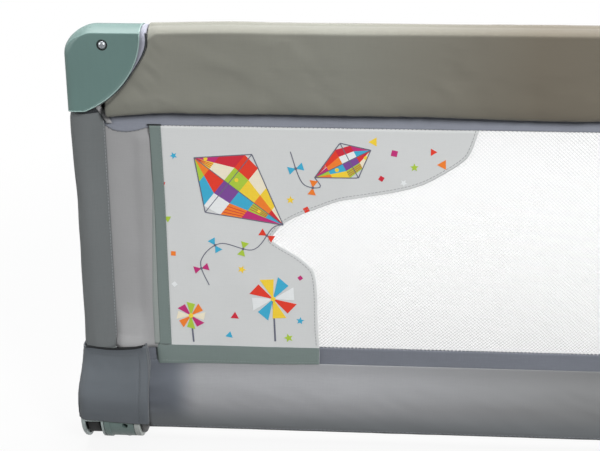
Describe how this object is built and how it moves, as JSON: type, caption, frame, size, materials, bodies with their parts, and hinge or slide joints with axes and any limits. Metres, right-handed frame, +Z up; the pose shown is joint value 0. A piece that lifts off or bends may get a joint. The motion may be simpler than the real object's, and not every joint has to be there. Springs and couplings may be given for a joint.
{
  "type": "folding bed guard rail",
  "caption": "Folding guard rail for a child's bed: padded top bar, net window with a printed patch, fabric skirt, and hinged legs that slide under the mattress.",
  "frame": {"origin": "centre of the rail's length and depth, on the surface that the feet and leg ends rest on", "axes": "+X along the rail, the outer side with the patch faces -Y, the legs lie towards +Y, +Z up"},
  "size_m": [0.9532, 0.4376, 0.45],
  "materials": {
    "sage_plastic": "satin",
    "teal_plastic": "satin",
    "black_plastic": "satin",
    "light_plastic": "satin",
    "steel_tube": "satin",
    "zinc_screw": "satin",
    "padded_fabric": "matte",
    "grey_fabric": "matte",
    "binding_fabric": "matte",
    "cuff_fabric": "matte",
    "net_fabric": "matte",
    "patch_fabric": "matte",
    "foam": "matte"
  },
  "bodies": {
    "panel": {"top_tube": "steel_tube", "lower_tube": "steel_tube", "left_upright_tube": "steel_tube", "right_upright_tube": "steel_tube", "left_corner_front_shell": "sage_plastic", "right_corner_front_shell": "sage_plastic", "left_corner_rear_shell": "sage_plastic", "right_corner_rear_shell": "sage_plastic", "left_corner_screw": "zinc_screw", "right_corner_screw": "zinc_screw", "left_corner_nut": "zinc_screw", "right_corner_nut": "zinc_screw", "top_rail_foam": "foam", "top_rail_sleeve": "padded_fabric", "left_upright_sleeve": "grey_fabric", "right_upright_sleeve": "grey_fabric", "left_side_panel": "grey_fabric", "right_side_panel": "grey_fabric", "binding_bottom": "binding_fabric", "binding_top": "binding_fabric", "binding_left": "binding_fabric", "binding_right": "binding_fabric", "window_net": "net_fabric", "printed_patch": "patch_fabric", "lower_band": "grey_fabric", "left_hinge_cuff": "cuff_fabric", "right_hinge_cuff": "cuff_fabric", "left_knuckle": "teal_plastic", "right_knuckle": "teal_plastic", "left_upright_screw": "zinc_screw", "right_upright_screw": "zinc_screw", "left_axle_screw": "zinc_screw", "right_axle_screw": "zinc_screw", "left_end_collar": "black_plastic", "right_end_collar": "black_plastic"},
    "left_leg": {"left_base_housing": "teal_plastic", "left_bearing_bush": "light_plastic", "left_bush_screw": "zinc_screw", "left_leg_tube": "steel_tube", "left_leg_screw": "zinc_screw", "left_leg_end_cap": "black_plastic", "left_lock_spring": "zinc_screw"},
    "right_leg": {"right_base_housing": "teal_plastic", "right_bearing_bush": "light_plastic", "right_bush_screw": "zinc_screw", "right_leg_tube": "steel_tube", "right_leg_screw": "zinc_screw", "right_leg_end_cap": "black_plastic", "right_lock_spring": "zinc_screw"},
    "left_gear": {"left_lock_gear": "black_plastic"},
    "right_gear": {"right_lock_gear": "black_plastic"},
    "left_button": {"left_release_button": "black_plastic"},
    "right_button": {"right_release_button": "black_plastic"}
  },
  "joints": [
    {"name": "left_leg_fold", "type": "hinge", "parent": "panel", "child": "left_leg", "pos_m": [-0.4284, -0.1812, 0.038], "axis": [1, 0, 0], "range_deg": [-180, 88], "deforming": ["left_hinge_cuff"]},
    {"name": "right_leg_fold", "type": "hinge", "parent": "panel", "child": "right_leg", "pos_m": [0.4284, -0.1812, 0.038], "axis": [1, 0, 0], "range_deg": [-180, 88], "deforming": ["right_hinge_cuff"]},
    {"name": "left_button_press", "type": "slide", "parent": "panel", "child": "left_button", "axis": [1, 0, 0], "range_m": [0, 0.006], "stiffness_N_per_m": 300, "springref_m": -0.004},
    {"name": "right_button_press", "type": "slide", "parent": "panel", "child": "right_button", "axis": [-1, 0, 0], "range_m": [0, 0.006], "stiffness_N_per_m": 300, "springref_m": -0.004},
    {"name": "left_lock_gear_slide", "type": "slide", "parent": "panel", "child": "left_gear", "axis": [1, 0, 0], "range_m": [0, 0.006], "deforming": ["left_lock_spring"]},
    {"name": "right_lock_gear_slide", "type": "slide", "parent": "panel", "child": "right_gear", "axis": [-1, 0, 0], "range_m": [0, 0.006], "deforming": ["right_lock_spring"]}
  ],
  "couplings": [
    {"joint": "left_lock_gear_slide", "follows": "left_button_press", "ratio": 1},
    {"joint": "right_lock_gear_slide", "follows": "right_button_press", "ratio": 1}
  ]
}
